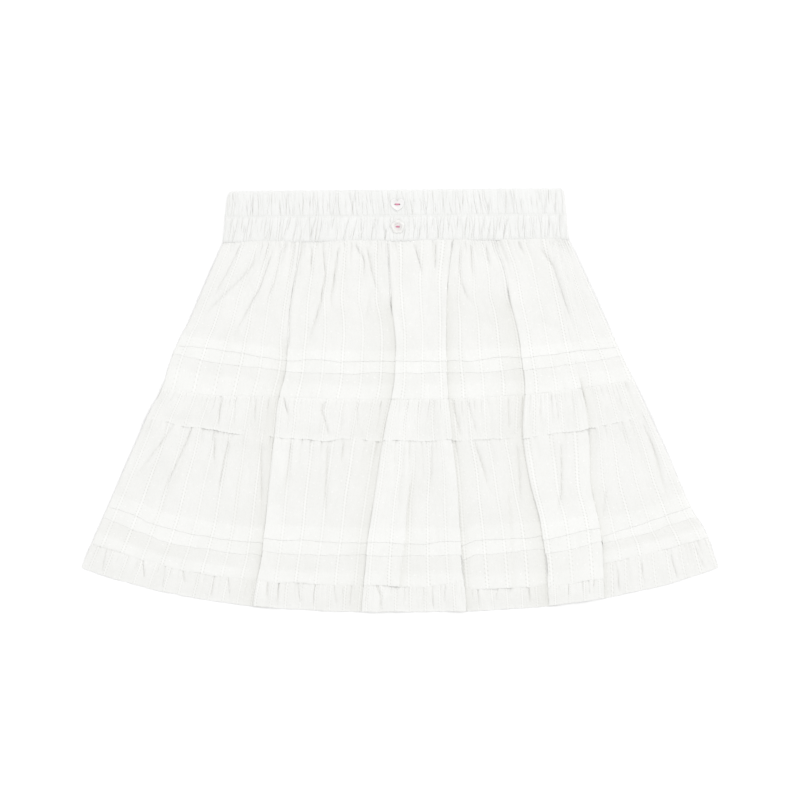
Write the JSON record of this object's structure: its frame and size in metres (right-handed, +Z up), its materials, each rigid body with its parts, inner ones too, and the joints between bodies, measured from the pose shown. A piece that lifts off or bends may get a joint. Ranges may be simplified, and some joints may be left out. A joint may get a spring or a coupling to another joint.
{
  "type": "tiered ruffle skirt",
  "caption": "Child's tiered ruffle skirt in white cotton with an elasticated waistband, laid flat with its soft pleats falling over one another.",
  "frame": {"origin": "middle of the ground the skirt covers, on the surface it lies on", "axes": "+X from the skirt's left side seam to its right one as it is looked at, +Y from the hem to the waist, +Z up out of the surface through the front of the skirt"},
  "size_m": [0.478, 0.3172, 0.0134],
  "materials": {
    "cotton": "matte",
    "shell": "gloss"
  },
  "bodies": {
    "root": {"waistband_front": "cotton", "waistband_back": "cotton", "upper_tier_front": "cotton", "flounce_front": "cotton", "lower_tier_front": "cotton", "hem_ruffle_front": "cotton", "upper_tier_back": "cotton", "flounce_back": "cotton", "lower_tier_back": "cotton", "hem_ruffle_back": "cotton", "heart_button": "shell", "flower_button": "shell"}
  },
  "joints": []
}
